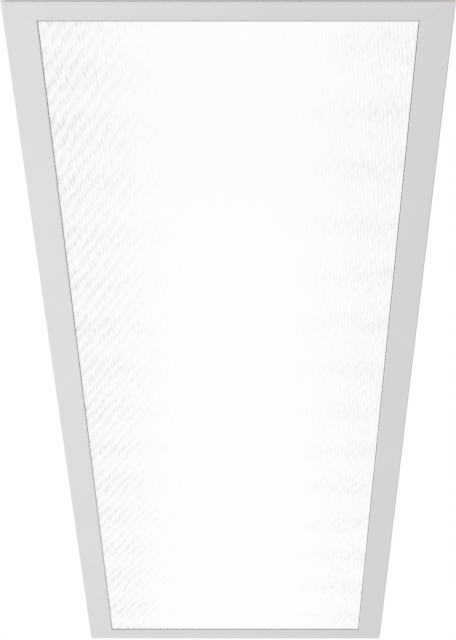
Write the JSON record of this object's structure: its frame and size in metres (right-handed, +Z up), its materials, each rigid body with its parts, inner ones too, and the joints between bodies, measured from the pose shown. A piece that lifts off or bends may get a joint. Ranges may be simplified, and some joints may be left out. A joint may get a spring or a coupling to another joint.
{
  "type": "recessed troffer light",
  "caption": "Long recessed ceiling light with a folded steel housing, a hinged white door frame with mitred corners, a prismatic lens, LED boards and a driver.",
  "frame": {"origin": "centre of the door's lower face, which is the lowest face of the closed light", "axes": "+Z up into the ceiling, +Y along the light towards its far end, +X across it towards the latch side"},
  "size_m": [0.6032, 1.2128, 0.0937],
  "materials": {
    "white_steel": "satin white baked enamel",
    "zinc_steel": "bright zinc plate",
    "spring_steel": "plain spring steel",
    "acrylic": "clear prismatic acrylic",
    "board_white": "white solder mask",
    "phosphor": "yellow phosphor under clear resin",
    "connector_white": "moulded",
    "driver_metal": "mill finish sheet",
    "board_lead": "red insulation",
    "supply_lead": "black insulation",
    "ground_green": "green insulation and lacquer"
  },
  "bodies": {
    "housing": {"board_connectors": "connector_white", "board_screws": "zinc_steel", "driver_base": "zinc_steel", "driver_case": "driver_metal", "driver_screws": "zinc_steel", "end_plate_far": "white_steel", "end_plate_near": "white_steel", "end_plate_screws": "zinc_steel", "grid_clip_rivets": "zinc_steel", "ground_lead": "ground_green", "ground_screw": "ground_green", "hinge_strap_far": "zinc_steel", "hinge_strap_near": "zinc_steel", "housing_trough": "white_steel", "latch_keeper_far": "zinc_steel", "latch_keeper_near": "zinc_steel", "led_board_1": "board_white", "led_board_2": "board_white", "led_board_3": "board_white", "led_board_4": "board_white", "led_row_1": "phosphor", "led_row_2": "phosphor", "led_row_3": "phosphor", "led_row_4": "phosphor", "output_leads": "board_lead", "supply_disconnect": "connector_white", "supply_leads": "supply_lead"},
    "door": {"side_rail_left": "white_steel", "side_rail_right": "white_steel", "end_rail_near": "white_steel", "end_rail_far": "white_steel", "corner_rivets": "zinc_steel", "lens": "acrylic", "lens_clips": "spring_steel", "corner_bracket_near_left": "zinc_steel", "corner_bracket_near_right": "zinc_steel", "corner_bracket_far_left": "zinc_steel", "corner_bracket_far_right": "zinc_steel", "hinge_leaf_near": "zinc_steel", "hinge_pin_near": "zinc_steel", "latch_pivot_near": "zinc_steel", "hinge_leaf_far": "zinc_steel", "hinge_pin_far": "zinc_steel", "latch_pivot_far": "zinc_steel"},
    "latch_near": {"latch_cam_near": "zinc_steel"},
    "latch_far": {"latch_cam_far": "zinc_steel"},
    "clip_near_left": {"grid_clip_near_left": "zinc_steel"},
    "clip_near_right": {"grid_clip_near_right": "zinc_steel"},
    "clip_far_left": {"grid_clip_far_left": "zinc_steel"},
    "clip_far_right": {"grid_clip_far_right": "zinc_steel"},
    "wireway_cover": {"driver_cover": "white_steel", "cover_screws": "zinc_steel"},
    "access_plate": {"access_plate": "white_steel", "access_screw": "zinc_steel"}
  },
  "joints": [
    {"name": "door_swing", "type": "hinge", "parent": "housing", "child": "door", "pos_m": [-0.294, 0, 0.00345], "axis": [0, 1, 0], "range_deg": [0, 90]},
    {"name": "latch_near_turn", "type": "hinge", "parent": "door", "child": "latch_near", "pos_m": [0.2698, -0.38, 0.014], "axis": [-1, 0, 0], "range_deg": [0, 90]},
    {"name": "latch_far_turn", "type": "hinge", "parent": "door", "child": "latch_far", "pos_m": [0.2698, 0.38, 0.014], "axis": [-1, 0, 0], "range_deg": [0, 90]},
    {"name": "clip_near_left_swing", "type": "hinge", "parent": "housing", "child": "clip_near_left", "pos_m": [-0.2, -0.59956, 0.0476], "axis": [0, 0, -1], "range_deg": [0, 90]},
    {"name": "clip_near_right_swing", "type": "hinge", "parent": "housing", "child": "clip_near_right", "pos_m": [0.2, -0.59956, 0.0476], "axis": [0, 0, 1], "range_deg": [0, 90]},
    {"name": "clip_far_left_swing", "type": "hinge", "parent": "housing", "child": "clip_far_left", "pos_m": [-0.2, 0.59956, 0.0476], "axis": [0, 0, 1], "range_deg": [0, 90]},
    {"name": "clip_far_right_swing", "type": "hinge", "parent": "housing", "child": "clip_far_right", "pos_m": [0.2, 0.59956, 0.0476], "axis": [0, 0, -1], "range_deg": [0, 90]},
    {"name": "cover_drop", "type": "slide", "parent": "housing", "child": "wireway_cover", "axis": [0, 0, -1], "range_m": [0, 0.04]},
    {"name": "access_plate_lift", "type": "hinge", "parent": "housing", "child": "access_plate", "pos_m": [0, 0.47, 0.0911], "axis": [-1, 0, 0], "range_deg": [0, 100]}
  ]
}
